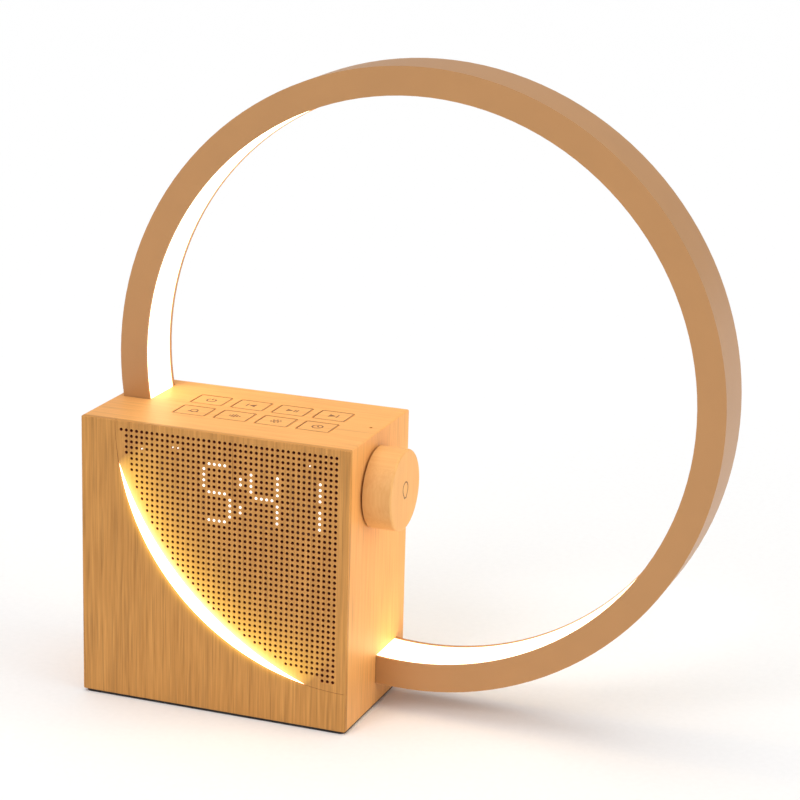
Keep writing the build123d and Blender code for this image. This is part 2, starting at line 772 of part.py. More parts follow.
def ring_clamp_upper():
    """Socket for the ring's upper end, screwed up to the top wall."""
    right, bottom = -31.8, 83.0
    ear_bottom = UPPER_EAR_TOP - EAR_T
    body = block(INNER_LEFT + GAP, right, CLAMP_FRONT, CLAMP_BACK, bottom, UPPER_EAR_TOP)
    body += block(-50.0, right - 1.0, EAR_FRONT, CLAMP_FRONT, ear_bottom, UPPER_EAR_TOP)
    body -= ring_bar(RING_IN, RING_R, RING_FRONT, RING_BACK, 180, UPPER_END)
    for x in UPPER_CLAMP_POSTS:
        body -= rod((x, EAR_Y, ear_bottom), (x, EAR_Y, UPPER_EAR_TOP), SCREW_HOLE_R)
    return body


RING_LEAD_R = STRIP_R - LAMP_T - LEAD_R - GAP
RING_LEAD_ANGLE = LOWER_END + 2.5


def ring_lead_points():
    """Route of the ring's lead, from inside the channel to the main board."""
    x, z = ring_point(RING_LEAD_R, RING_LEAD_ANGLE)
    a = radians(RING_LEAD_ANGLE)
    reach = 15.0
    plug_x = RING_PLUG[0]
    places = [(x, z), (x + reach * sin(a), z - reach * cos(a)), (plug_x, 19.8), (plug_x, PLUG_TOP)]
    return [(x, RING_MID, z) for x, z in places]


def ring_clamp_lower():
    """Socket for the ring's lower end, screwed to the right wall."""
    left, bottom, top = 27.0, INNER_BOTTOM + 2.0, 29.5
    body = block(left, LOWER_EAR_X, CLAMP_FRONT, CLAMP_BACK, bottom, top)
    body += block(LOWER_EAR_X - EAR_T, LOWER_EAR_X, EAR_FRONT, CLAMP_FRONT, bottom + 3.0, top - 2.5)
    body -= ring_bar(RING_IN, RING_R, RING_FRONT, RING_BACK, LOWER_END, 270)
    for z in LOWER_CLAMP_POSTS:
        body -= rod((LOWER_EAR_X - EAR_T, EAR_Y, z), (LOWER_EAR_X, EAR_Y, z), SCREW_HOLE_R)
    inside, outside = ring_lead_points()[:2]
    return body - rod(inside, outside, LEAD_R + GAP)


def ring_clamp_screws():
    upper = [screw((x, EAR_Y, UPPER_EAR_TOP - EAR_T), (0, 0, 1), 8.0) for x in UPPER_CLAMP_POSTS]
    lower = [screw((LOWER_EAR_X - EAR_T, EAR_Y, z), (1, 0, 0), 8.0) for z in LOWER_CLAMP_POSTS]
    return group(upper + lower)


# Main board

USB_W = 9.0
USB_H = 3.3
CELL_CENTRE = (-6.0, 3.0)
CELL_R = 10.0
CELL_T = 3.2


def main_board():
    board = block(*MAIN_BOARD_X, *MAIN_BOARD_Y, BOARD_BOTTOM, BOARD_TOP)
    for x, y in MAIN_BOARD_POSTS:
        board -= rod((x, y, BOARD_BOTTOM), (x, y, BOARD_TOP), SCREW_HOLE_R)
    return board


def main_board_screws():
    return group([screw((x, y, BOARD_TOP), (0, 0, -1), 4.5) for x, y in MAIN_BOARD_POSTS])


def on_board(x, y, size_x, size_y, size_z):
    """Box-shaped part standing on the main board."""
    return Pos(x, y, BOARD_TOP) * Box(size_x, size_y, size_z, align=FROM_START)


def board_chips():
    """Control chip, amplifier, charge chip and radio module."""
    return group([
        on_board(-31.0, -8.0, 9.0, 9.0, 1.2),
        on_board(14.5, -8.0, 5.0, 5.0, 1.0),
        on_board(-20.0, 12.0, 4.0, 4.0, 1.0),
        on_board(-38.5, 5.0, 9.0, 14.0, 2.0),
    ])


def board_capacitors():
    return group([rod((x, 20.0, BOARD_TOP), (x, 20.0, BOARD_TOP + 7.5), 2.5) for x in (-6.0, 1.0, 8.0)])


def board_plugs():
    """Sockets of the six leads."""
    places = (SPEAKER_PLUG, RING_PLUG, KNOB_PLUG, KEY_PLUG, DISPLAY_PLUG, CRESCENT_PLUG)
    return group([on_board(x, y, 5.0, 4.0, PLUG_H) for x, y in places])


def cell_holder():
    """Open cup for the backup cell."""
    wall, floor = 1.0, 0.8
    x, y = CELL_CENTRE
    cup = rod((x, y, BOARD_TOP), (x, y, BOARD_TOP + floor + CELL_T - 0.6), CELL_R + FIT + wall)
    return cup - rod((x, y, BOARD_TOP + floor), (x, y, BOARD_TOP + floor + CELL_T), CELL_R + FIT)


def backup_cell():
    x, y = CELL_CENTRE
    bottom = BOARD_TOP + 0.8
    cap = rod((x, y, bottom), (x, y, bottom + CELL_T), CELL_R - 0.8)
    return cap + rod((x, y, bottom), (x, y, bottom + CELL_T - 0.5), CELL_R)


def usb_inlet():
    """Power inlet: a metal shell with its contact tongue."""
    wall, tongue_h, depth = 0.35, 0.7, 8.0
    centre = Pos(USB_X, BOARD_TOP + USB_H / 2)
    mouth = BACK - 0.4
    inner = RectangleRounded(USB_W - 2 * wall, USB_H - 2 * wall, (USB_H - 2 * wall) / 2 - 0.01)
    shell = front_slab(centre * RectangleRounded(USB_W, USB_H, USB_H / 2 - 0.01), mouth - depth, mouth)
    shell -= front_slab(centre * inner, mouth - depth + 1.0, mouth)
    return shell + front_slab(centre * Rectangle(6.7, tongue_h), mouth - depth + 0.5, mouth - 1.2)


# Leads

def speaker_lead():
    x, y = SPEAKER_PLUG
    end_x = SPEAKER_X - 12.5
    return lead([(x, y, PLUG_TOP), (x, y, 22.0), (end_x, y, 29.5), (end_x, y, SPEAKER_Z - 14.5)], 4.0)


def ring_lead():
    return lead(ring_lead_points(), 2.5)


def knob_lead():
    x, y = KNOB_PLUG
    start_x, start_z = ENCODER_BACK - ENCODER_BOARD_T, 84.0
    return lead([(start_x, y, start_z), (x, y, start_z), (x, y, PLUG_TOP)], 8.0)


def key_lead():
    x, y = KEY_PLUG
    start_x = -26.0
    points = [(start_x, y, KEY_BOARD_BOTTOM), (start_x, y, 66.0), (x, y, 50.0), (x, y, PLUG_TOP)]
    return lead(points, 25.0)


def front_lead(plug, start_y, height):
    """Lead that comes back through the baffle and drops to its plug."""
    x, y = plug
    return lead([(x, start_y, height), (x, y, height), (x, y, PLUG_TOP)], 4.5)


def internal_leads():
    """The six leads that join the lamps, boards and loudspeaker to the main board."""
    display_lead = front_lead(DISPLAY_PLUG, DISPLAY_BACK, DISPLAY_LEAD_Z)
    crescent_lead = front_lead(CRESCENT_PLUG, BAFFLE_FRONT, CRESCENT_LEAD_Z)
    return group([speaker_lead(), ring_lead(), knob_lead(), key_lead(), display_lead, crescent_lead])


def build_parts():
    """Every sub-part by the name of its node."""
    parts = {
        "display_pins_lit": display_pins(True),
        "display_pins_unlit": display_pins(False),
    }
    makers = [
        main_case, front_panel, speaker_grille, rear_cover, rear_cover_screws, base_pad,
        crescent_diffuser, crescent_led_board, crescent_leds,
        display_mask, display_board,
        front_baffle, baffle_screws, acoustic_scrim,
        speaker_basket, speaker_surround, speaker_cone, speaker_dust_cap, speaker_voice_coil,
        speaker_magnet, speaker_screws,
        key_board, key_switches, key_board_screws, microphone,
        knob, knob_hub, encoder_shaft, encoder_plunger, encoder_body, encoder_nut, encoder_board,
        ring_channel, ring_diffuser, ring_led_strip, ring_leds,
        ring_clamp_upper, ring_clamp_lower, ring_clamp_screws,
        main_board, main_board_screws, board_chips, board_capacitors, board_plugs,
        cell_holder, backup_cell, usb_inlet,
        internal_leads,
    ]
    for maker in makers:
        parts[maker.__name__] = maker()
    for name, (x, y) in zip(KEY_NAMES, key_centres()):
        parts[name] = key(x, y)
    return parts


os.makedirs("parts", exist_ok=True)
for node, shape in build_parts().items():
    export_step(shape, f"parts/{node}.step")
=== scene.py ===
import json
from math import cos, pi, radians, sin, sqrt

import bmesh
import bpy
from mathutils import Matrix, Vector


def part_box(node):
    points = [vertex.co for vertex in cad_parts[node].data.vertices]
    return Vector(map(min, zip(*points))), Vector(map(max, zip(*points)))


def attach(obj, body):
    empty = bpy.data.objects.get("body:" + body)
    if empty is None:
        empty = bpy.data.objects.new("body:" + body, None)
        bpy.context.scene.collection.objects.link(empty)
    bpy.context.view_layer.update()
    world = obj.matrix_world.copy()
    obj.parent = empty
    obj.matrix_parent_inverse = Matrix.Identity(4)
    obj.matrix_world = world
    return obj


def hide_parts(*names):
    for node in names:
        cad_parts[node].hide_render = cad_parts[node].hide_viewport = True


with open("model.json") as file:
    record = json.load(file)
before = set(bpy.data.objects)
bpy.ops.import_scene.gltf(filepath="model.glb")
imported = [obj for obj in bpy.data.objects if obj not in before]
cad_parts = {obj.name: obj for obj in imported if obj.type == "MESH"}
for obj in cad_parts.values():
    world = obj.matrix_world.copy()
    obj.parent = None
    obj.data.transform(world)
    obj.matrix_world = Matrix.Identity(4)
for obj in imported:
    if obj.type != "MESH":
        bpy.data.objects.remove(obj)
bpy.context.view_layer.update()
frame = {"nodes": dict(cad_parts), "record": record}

MM = 0.001

# Camera, placed round a target point in metres and degrees
TARGET = Vector((0.0618, 0.0, 0.1234))
CAMERA_AZIMUTH = 20.22
CAMERA_ELEVATION = 15.82
CAMERA_ROLL = 1.47
CAMERA_DISTANCE = 0.952
CAMERA_LENS = 115.8
SENSOR_WIDTH = 36.0

# Studio, in metres; each light has the direction towards it, its strength and its spread in degrees
WORLD_STRENGTH = 0.52
SUNS = {
    "top_light": ((-0.1, 0.0, 1.0), 1.0, 60),
    "front_light": ((-0.25, -1.0, 0.85), 0.92, 30),
    "right_light": ((1.0, -0.05, 0.35), 0.66, 40),
}
FLOOR_HALF = 60.0
FLOOR_LOW, FLOOR_HIGH = (0.92, 0.92, 0.92), (0.94, 0.94, 0.94)

# Crescent, in metres: its outer circle is centred on the front's top right corner
CRESCENT_T = 5.1 * MM
CRESCENT_HALF_ANGLE = radians(35.4)
SEAM = 0.12 * MM

# Pins this far below the highest one are indicators, and the rest are digits
INDICATOR_BAND = 3.3 * MM
DIGIT_LENS_R, DIGIT_CROWN = 0.54 * MM, 0.14 * MM
INDICATOR_LENS_R, INDICATOR_CROWN = 0.3 * MM, 0.1 * MM

PANEL_LO, PANEL_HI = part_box("front_panel")
GRILLE_LO, GRILLE_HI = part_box("speaker_grille")
FRONT_Y = PANEL_LO.y
CORNER_X, CORNER_Z = PANEL_HI.x, GRILLE_HI.z
ARC_R = CORNER_X - GRILLE_LO.x + SEAM


# Shader helpers

class Nodes:
    """Builds one node tree."""

    def __init__(self, tree):
        self.tree = tree
        tree.nodes.clear()

    def add(self, kind, inputs=(), **settings):
        """One node; inputs maps a socket's name or number to a value or to an output."""
        node = self.tree.nodes.new("ShaderNode" + kind)
        for key, value in settings.items():
            setattr(node, key, value)
        for key, value in dict(inputs).items():
            if isinstance(value, bpy.types.NodeSocket):
                self.tree.links.new(value, node.inputs[key])
            else:
                node.inputs[key].default_value = value
        return node

    def math(self, operation, a, b=0.0, clamp=False):
        return self.add("Math", {0: a, 1: b}, operation=operation, use_clamp=clamp).outputs[0]

    def noise(self, vector, scale, detail=2.0, rough=0.5):
        inputs = {"Vector": vector, "Scale": scale, "Detail": detail, "Roughness": rough}
        return self.add("TexNoise", inputs).outputs["Fac"]

    def stretch(self, vector, scale):
        return self.add("Mapping", {"Vector": vector, "Scale": scale}).outputs["Vector"]

    def ramp(self, factor, stops):
        """Colour ramp from (position, colour) pairs."""
        node = self.add("ValToRGB", {0: factor})
        elements = node.color_ramp.elements
        while len(elements) < len(stops):
            elements.new(0.5)
        for element, (position, colour) in zip(elements, stops):
            element.position = position
            element.color = (*colour, 1.0)
        return node.outputs["Color"]

    def grey_ramp(self, factor, stops):
        return self.ramp(factor, [(position, (value,) * 3) for position, value in stops])

    def mix(self, factor, a, b, blend="MIX"):
        inputs = {0: factor, 6: a, 7: b}
        return self.add("Mix", inputs, data_type="RGBA", blend_type=blend).outputs[2]

    def bump(self, height, strength, distance):
        inputs = {"Height": height, "Strength": strength, "Distance": distance}
        return self.add("Bump", inputs).outputs["Normal"]

    def finish(self, shader):
        output = self.add("OutputMaterial")
        self.tree.links.new(shader.outputs[0], output.inputs[0])


def new_material(name):
    material = bpy.data.materials.new(name)
    material.use_nodes = True
    return material, Nodes(material.node_tree)


def rgba(colour):
    return (*colour, 1.0)


# Materials

def crescent_gap(n, coords):
    """Distance to the crescent's edge, and how far across it lies as a share of its tips' reach."""
    split = n.add("SeparateXYZ", {0: coords})
    from_right = n.math("SUBTRACT", CORNER_X, split.outputs["X"])
    from_top = n.math("SUBTRACT", CORNER_Z, split.outputs["Z"])
    along = n.math("MULTIPLY", n.math("ADD", from_right, from_top), 1 / sqrt(2))
    across = n.math("MULTIPLY", n.math("SUBTRACT", from_right, from_top), 1 / sqrt(2))
    across_sq = n.math("POWER", n.math("ABSOLUTE", across), 2.0)
    middle = ARC_R - CRESCENT_T
    tip_along = ARC_R * cos(CRESCENT_HALF_ANGLE)
    shift = (ARC_R ** 2 - middle ** 2) / (2 * (middle - tip_along))
    radius = n.math("SQRT", n.math("ADD", n.math("POWER", along, 2.0), across_sq))
    from_centre = n.math("POWER", n.math("ADD", along, shift), 2.0)
    inner = n.math("SQRT", n.math("ADD", from_centre, across_sq))
    inside = n.math("SUBTRACT", shift + middle, inner)
    outside = n.math("SUBTRACT", radius, ARC_R)
    gap = n.math("MAXIMUM", n.math("MAXIMUM", inside, outside), 0.0)
    return gap, n.math("DIVIDE", across_sq, (ARC_R * sin(CRESCENT_HALF_ANGLE)) ** 2)


def crescent_glow(n, coords, layers):
    """Painted glow of the crescent's light in the wood beside it, in layers of (colour, reach, power).

    Each layer fades with distance from the crescent, and towards the tips: later for a higher power.
    """
    gap, share = crescent_gap(n, coords)
    depth = n.add("SeparateXYZ", {0: coords}).outputs["Y"]
    front = n.math("LESS_THAN", depth, FRONT_Y + 0.5 * MM)
    total = None
    for colour, reach, power in layers:
        window = n.math("SUBTRACT", 1.0, n.math("POWER", share, power), clamp=True)
        fade = n.math("EXPONENT", n.math("DIVIDE", gap, -reach))
        fade = n.math("MULTIPLY", n.math("MULTIPLY", fade, window), front)
        layer = n.add("VectorMath", {0: colour, 3: fade}, operation="SCALE").outputs[0]
        total = n.add("VectorMath", {0: total, 1: layer}, operation="ADD").outputs[0] if total else layer
    return total


# Wood grain: its frequency along the fibres as a share of that across, and the scale of each layer
GRAIN_STRETCH = 0.03
FIBRE_SCALE, STREAK_SCALE, BAND_SCALE, PORE_SCALE = 1700.0, 850.0, 110.0, 1100.0


def wood(name, light, dark, roughness, glow=None, pore_depth=0.16):
    """Straight oak grain: along Z on upright faces and along X on level ones."""
    material, n = new_material(name)
    coords = n.add("TexCoord")
    normal_z = n.add("SeparateXYZ", {0: coords.outputs["Normal"]}).outputs["Z"]
    level = n.math("GREATER_THAN", n.math("ABSOLUTE", normal_z), 0.7)
    upright_grain = n.stretch(coords.outputs["Object"], (1.0, 1.0, GRAIN_STRETCH))
    level_grain = n.stretch(coords.outputs["Object"], (GRAIN_STRETCH, 1.0, 1.0))
    grain = n.mix(level, upright_grain, level_grain)
    fibres = n.noise(grain, FIBRE_SCALE, 3.0, 0.6)
    streaks = n.noise(grain, STREAK_SCALE, 2.0, 0.55)
    bands = n.noise(grain, BAND_SCALE, 2.0, 0.5)
    pores = n.grey_ramp(n.noise(grain, PORE_SCALE, 1.0, 0.4), [(0.32, 0.0), (0.43, 1.0)])
    total = n.math("ADD", n.math("MULTIPLY", fibres, 0.3), n.math("MULTIPLY", streaks, 0.55))
    total = n.math("ADD", total, n.math("MULTIPLY", bands, 0.15))
    colour = n.ramp(total, [(0.3, dark), (0.7, light)])
    shaded = n.mix(pore_depth, colour, n.mix(1.0, colour, pores, "MULTIPLY"))
    height = n.math("ADD", n.math("MULTIPLY", fibres, 0.6), n.math("MULTIPLY", pores, 0.4))
    inputs = {
        "Roughness": n.math("ADD", n.math("MULTIPLY", streaks, 0.14), roughness - 0.07),
        "Normal": n.bump(height, 0.3, 0.00008),
        "Specular IOR Level": 0.3,
    }
    if glow:
        # Painted shade on the walls of the grille's holes
        shaded = n.mix(hole_shade_mask(n, coords), shaded, rgba(HOLE_SHADE))
        # Painted glow: emission in the wood that fades with distance from the crescent
        inputs["Emission Color"] = crescent_glow(n, coords.outputs["Object"], glow)
        inputs["Emission Strength"] = 1.0
    inputs["Base Color"] = shaded
    n.finish(n.add("BsdfPrincipled", inputs))
    return material


def hole_shade_mask(n, coords):
    """1 on the walls of the grille's holes, which get painted shade in a dark reddish brown, and 0
    elsewhere.
    """
    margin = 1.0 * MM
    place = n.add("SeparateXYZ", {0: coords.outputs["Object"]}).outputs
    sideways = n.math("ABSOLUTE", n.add("SeparateXYZ", {0: coords.outputs["Normal"]}).outputs["Y"])
    wall = n.math("LESS_THAN", sideways, 0.5)
    clear_of_side = n.math("LESS_THAN", place["X"], CORNER_X - margin)
    clear_of_top = n.math("LESS_THAN", place["Z"], CORNER_Z - margin)
    return n.math("MULTIPLY", wall, n.math("MULTIPLY", clear_of_side, clear_of_top))


def moulded(name, colour, roughness, grain_mm=0.25, bump=0.15, mottle=0.12, **sockets):
    """Moulded or painted surface with fine texture and slight unevenness of colour."""
    material, n = new_material(name)
    coords = n.add("TexCoord").outputs["Object"]
    grain = n.noise(coords, 1.0 / (grain_mm * MM), 2.0, 0.6)
    cloud = n.noise(coords, 60.0, 3.0, 0.5)
    darker = tuple(c * (1.0 - mottle) for c in colour)
    lighter = tuple(min(1.0, c * (1.0 + mottle)) for c in colour)
    base = n.ramp(cloud, [(0.3, darker), (0.7, lighter)])
    base = n.mix(n.math("MULTIPLY", grain, 0.35), base, rgba(darker))
    inputs = {
        "Base Color": base,
        "Roughness": n.math("ADD", n.math("MULTIPLY", grain, 0.12), roughness - 0.06),
        "Normal": n.bump(grain, bump, 0.00006),
    }
    inputs.update({key.replace("_", " "): value for key, value in sockets.items()})
    n.finish(n.add("BsdfPrincipled", inputs))
    return material


def metal(name, colour, roughness, stretch=(1.0, 1.0, 0.05)):
    """Metal with fine drawn lines."""
    material, n = new_material(name)
    coords = n.add("TexCoord").outputs["Object"]
    lines = n.noise(n.stretch(coords, stretch), 3000.0, 3.0, 0.6)
    smudge = n.noise(coords, 150.0, 2.0, 0.5)
    worn = tuple(c * 0.8 for c in colour)
    inputs = {
        "Base Color": n.ramp(smudge, [(0.35, worn), (0.65, colour)]),
        "Metallic": 1.0,
        "Roughness": n.math("ADD", n.math("MULTIPLY", lines, 0.2), roughness - 0.1),
        "Normal": n.bump(lines, 0.12, 0.00004),
    }
    n.finish(n.add("BsdfPrincipled", inputs))
    return material


def board(name, mask, track):
    """Solder mask over a pattern of copper tracks."""
    material, n = new_material(name)
    coords = n.add("TexCoord").outputs["Object"]
    cells = n.add("TexVoronoi", {"Vector": coords, "Scale": 350.0}, distance="CHEBYCHEV", feature="F1")
    lines = n.grey_ramp(cells.outputs["Distance"], [(0.42, 0.0), (0.46, 1.0)])
    fine = n.noise(coords, 900.0, 2.0, 0.5)
    inputs = {
        "Base Color": n.mix(lines, rgba(mask), rgba(track)),
        "Roughness": n.math("ADD", n.math("MULTIPLY", fine, 0.1), 0.3),
        "Normal": n.bump(lines, 0.3, 0.00004),
    }
    n.finish(n.add("BsdfPrincipled", inputs))
    return material


def cloth(name, colour):
    """Fine plain weave."""
    material, n = new_material(name)
    coords = n.add("TexCoord").outputs["Object"]
    waves = {"Vector": coords, "Scale": 1200.0, "Distortion": 0.4}
    warp = n.add("TexWave", waves, bands_direction="X").outputs["Fac"]
    weft = n.add("TexWave", waves, bands_direction="Z").outputs["Fac"]
    weave = n.math("MAXIMUM", warp, weft)
    darker = tuple(c * 0.4 for c in colour)
    inputs = {
        "Base Color": n.ramp(weave, [(0.2, darker), (0.9, colour)]),
        "Roughness": 0.95,
        "Normal": n.bump(weave, 0.6, 0.0001),
    }
    n.finish(n.add("BsdfPrincipled", inputs))
    return material


def lit_lens(name, colour, strength, cloud_share=0.06, edge=None):
    """Milky lens lit from behind; edge=(middle, reach, colour) dims it along Y towards its rims."""
    material, n = new_material(name)
    coords = n.add("TexCoord").outputs["Object"]
    cloud = n.noise(coords, 130.0, 2.0, 0.5)
    bright = tuple(c * strength for c in colour)
    low = tuple(c * (1.0 - cloud_share) for c in bright)
    fine = n.noise(coords, 2500.0, 2.0, 0.5)
    light = n.mix(cloud, rgba(low), rgba(bright))
    if edge:
        middle, reach, rim_colour = edge
        y = n.add("SeparateXYZ", {0: coords}).outputs["Y"]
        out = n.math("DIVIDE", n.math("ABSOLUTE", n.math("SUBTRACT", y, middle)), reach)
        rim = n.grey_ramp(out, [(0.84, 0.0), (1.0, 1.0)])
        light = n.mix(rim, light, rgba(rim_colour))
    inputs = {
        "Base Color": (0.86, 0.84, 0.78, 1.0),
        "Roughness": n.math("ADD", n.math("MULTIPLY", fine, 0.1), 0.35),
        "Normal": n.bump(fine, 0.1, 0.00003),
        "Emission Color": light,
        "Emission Strength": 1.0,
    }
    n.finish(n.add("BsdfPrincipled", inputs))
    return material


FRONT_LIGHT, FRONT_DARK = (0.66, 0.315, 0.083), (0.42, 0.183, 0.040)
CASE_LIGHT, CASE_DARK = (0.85, 0.43, 0.145), (0.73, 0.335, 0.092)
KNOB_LIGHT, KNOB_DARK = (0.76, 0.425, 0.155), (0.69, 0.345, 0.11)
# Colour of the painted shade in the grille's holes
HOLE_SHADE = (0.30, 0.07, 0.03)
WARM = (1.0, 0.80, 0.46)
RING_RIM = (1.0, 0.78, 0.38)
DIGIT_LIGHT, INDICATOR_LIGHT = (1.0, 0.93, 0.80), (1.0, 0.85, 0.62)
# Colours of the icons' print and of the painted shade lines round the keys
INK_AND_SHADE_DARK, INK_AND_SHADE_LIGHT = (0.17, 0.075, 0.022), (0.26, 0.12, 0.038)
# Painted glow of the crescent in the grille and the panel, in layers of (colour, reach, power)
GRILLE_PAINTED_GLOW = [((1.35, 0.80, 0.08), 6.6 * MM, 5.0), ((0.7, 0.62, 0.75), 1.3 * MM, 1.5)]
PANEL_PAINTED_GLOW = [((0.8, 0.40, 0.05), 0.9 * MM, 2.0)]


def slot_materials():
    """One material for each slot of the record."""
    lens_lo, lens_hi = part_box("ring_diffuser")
    ring_middle, ring_reach = (lens_lo.y + lens_hi.y) / 2, (lens_hi.y - lens_lo.y) / 2
    return {
        "wood_case": wood("case_wood", CASE_LIGHT, CASE_DARK, 0.5),
        "wood_knob": wood("knob_wood", KNOB_LIGHT, KNOB_DARK, 0.48, pore_depth=0.0),
        "wood_key": wood("key_wood", CASE_LIGHT, CASE_DARK, 0.5),
        "black_rubber": moulded("pad_rubber", (0.02, 0.018, 0.016), 0.8, 0.4, 0.4),
        "steel_screw": metal("screw_steel", (0.6, 0.6, 0.58), 0.35),
        "crescent_glow": lit_lens("crescent_lens", WARM, 5.0),
        "ring_glow": lit_lens("ring_lens", WARM, 4.0, edge=(ring_middle, ring_reach, RING_RIM)),
        "lamp_chip": moulded("lamp_chip", (0.75, 0.6, 0.15), 0.3),
        "display_glow": lit_lens("display_pin", (1.0, 0.9, 0.68), 6.0),
        "smoked_pin": moulded("smoked_pin", (0.06, 0.016, 0.009), 0.9, Specular_IOR_Level=0.1),
        "green_board": board("green_board", (0.02, 0.12, 0.045), (0.04, 0.2, 0.07)),
        "white_board": board("white_board", (0.75, 0.75, 0.72), (0.62, 0.62, 0.6)),
        "black_plastic": moulded("black_plastic", (0.02, 0.02, 0.02), 0.55),
        "white_plastic": moulded("white_plastic", (0.75, 0.74, 0.7), 0.45),
        "black_cloth": cloth("scrim_cloth", (0.14, 0.04, 0.025)),
        "pressed_steel": moulded("basket_paint", (0.03, 0.03, 0.03), 0.35),
        "speaker_rubber": moulded("surround_rubber", (0.02, 0.02, 0.02), 0.65),
        "speaker_paper": moulded("cone_paper", (0.04, 0.038, 0.035), 0.9, 0.5, 0.5),
        "coil_copper": metal("coil_copper", (0.8, 0.4, 0.2), 0.35, (1.0, 0.02, 1.0)),
        "magnet_ferrite": moulded("ferrite", (0.05, 0.05, 0.052), 0.6),
        "plated_metal": metal("nickel_plate", (0.66, 0.64, 0.6), 0.28),
        "chip_black": moulded("chip_black", (0.02, 0.02, 0.022), 0.5),
        "ring_paint": moulded("ring_paint", (0.485, 0.238, 0.083), 0.38, 0.12, 0.12, 0.03),
        "lead_jacket": moulded("lead_jacket", (0.4, 0.03, 0.02), 0.45),
    }


def paint_nodes():
    """Gives each CAD node its slot's material; the front has its own, with a painted glow from the
    crescent.
    """
    made = slot_materials()
    front = {
        "front_panel": wood("panel_wood", FRONT_LIGHT, FRONT_DARK, 0.55, PANEL_PAINTED_GLOW),
        "speaker_grille": wood("grille_wood", FRONT_LIGHT, FRONT_DARK, 0.55, GRILLE_PAINTED_GLOW),
    }
    for row in frame["record"]["subparts"]:
        node = frame["nodes"][row["node"]]
        material = front.get(row["node"], made[row["material_slot"]])
        node.data.materials.clear()
        node.data.materials.append(material)


# Pieces added to the CAD model

def add_piece(name, mesh_maker, material, body):
    """Object from a bmesh that mesh_maker fills."""
    bm = bmesh.new()
    mesh_maker(bm)
    bmesh.ops.recalc_face_normals(bm, faces=bm.faces)
    mesh = bpy.data.meshes.new(name)
    bm.to_mesh(mesh)
    bm.free()
    mesh.materials.append(material)
    piece = bpy.data.objects.new(name, mesh)
    bpy.context.scene.collection.objects.link(piece)
    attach(piece, body)
    return piece


class Inlay:
    """Flat shapes let into a face: drawn in millimetres about a point, with u right and v up."""

    RISE, SUNK = 0.02 * MM, 0.05 * MM

    def __init__(self, bm, origin, u, v):
        self.bm, self.origin = bm, Vector(origin)
        self.u, self.v = Vector(u), Vector(v)
        self.out = self.u.cross(self.v)

    def point(self, x, y, height):
        return self.origin + (self.u * x + self.v * y) * MM + self.out * height

    def plate(self, points):
        """Filled outline."""
        top = [self.bm.verts.new(self.point(x, y, self.RISE)) for x, y in points]
        low = [self.bm.verts.new(self.point(x, y, -self.SUNK)) for x, y in points]
        self.bm.faces.new(top)
        self.bm.faces.new(low[::-1])
        for i in range(len(points)):
            j = (i + 1) % len(points)
            self.bm.faces.new((top[i], low[i], low[j], top[j]))

    def line(self, points, width, closed=False):
        """Band of one width along a path."""
        count = len(points)
        rows = []
        for i, (x, y) in enumerate(points):
            before = points[i - 1] if i or closed else points[i]
            after = points[(i + 1) % count] if i < count - 1 or closed else points[i]
            incoming = Vector((x - before[0], y - before[1]))
            outgoing = Vector((after[0] - x, after[1] - y))
            incoming = (incoming if incoming.length else outgoing).normalized()
            outgoing = (outgoing if outgoing.length else incoming).normalized()
            side = Vector((-(incoming + outgoing).y, (incoming + outgoing).x)).normalized()
            half = width / 2 / max(0.4, side.dot(Vector((-outgoing.y, outgoing.x))))
            corners = [(side, self.RISE), (-side, self.RISE), (-side, -self.SUNK), (side, -self.SUNK)]
            rows.append([
                self.bm.verts.new(self.point(x + way.x * half, y + way.y * half, height))
                for way, height in corners
            ])
        for i in range(count if closed else count - 1):
            here, there = rows[i], rows[(i + 1) % count]
            for k in range(4):
                m = (k + 1) % 4
                self.bm.faces.new((here[k], here[m], there[m], there[k]))
        if not closed:
            self.bm.faces.new(rows[0])
            self.bm.faces.new(rows[-1][::-1])


def arc(x, y, radius, start, end, steps=16):
    """Points along an arc, angles in degrees."""
    angles = [radians(start + (end - start) * i / steps) for i in range(steps + 1)]
    return [(x + radius * cos(a), y + radius * sin(a)) for a in angles]


def circle(x, y, radius, steps=24):
    return arc(x, y, radius, 0, 360, steps)[:-1]


# Icons, and edge lines of painted shade, in millimetres
STROKE, BAR_STROKE, PAUSE_STROKE = 0.6, 0.55, 0.5
KEY_EDGE_INSET = 0.27
KEY_EDGE_SHADE_WIDTH = 0.34
KEY_CORNER_R = 1.0
KEY_FLANGE_OUT = 0.95


def bell(marks):
    marks.line([(-1.9, -1.3), (-1.3, -0.7)] + arc(0, 0.3, 1.3, 180, 0) + [(1.3, -0.7), (1.9, -1.3)], STROKE)
    marks.line([(-2.1, -1.3), (2.1, -1.3)], STROKE)
    marks.plate(circle(0, -1.9, 0.35, 12))


def sound_bars(marks):
    for i, reach in enumerate((0.6, 1.4, 2.0, 1.1, 0.5)):
        x = (i - 2) * 1.0
        marks.line([(x, -reach), (x, reach)], STROKE)


def sun(marks):
    marks.line(circle(0, 0, 1.0), STROKE, closed=True)
    for angle in range(0, 360, 45):
        way = Vector((cos(radians(angle)), sin(radians(angle))))
        marks.line([tuple(way * 1.6), tuple(way * 2.3)], STROKE)


def clock(marks):
    marks.line(circle(0, 0, 2.0), STROKE, closed=True)
    marks.line([(0, 1.2), (0, 0), (0.9, -0.5)], STROKE)


def power(marks):
    marks.line(arc(0, -0.1, 1.8, 120, 420), STROKE)
    marks.line([(0, 0.4), (0, 2.1)], STROKE)


def previous_track(marks):
    marks.plate([(-1.1, 0), (1.7, -1.7), (1.7, 1.7)])
    marks.line([(-1.7, -1.7), (-1.7, 1.7)], BAR_STROKE)


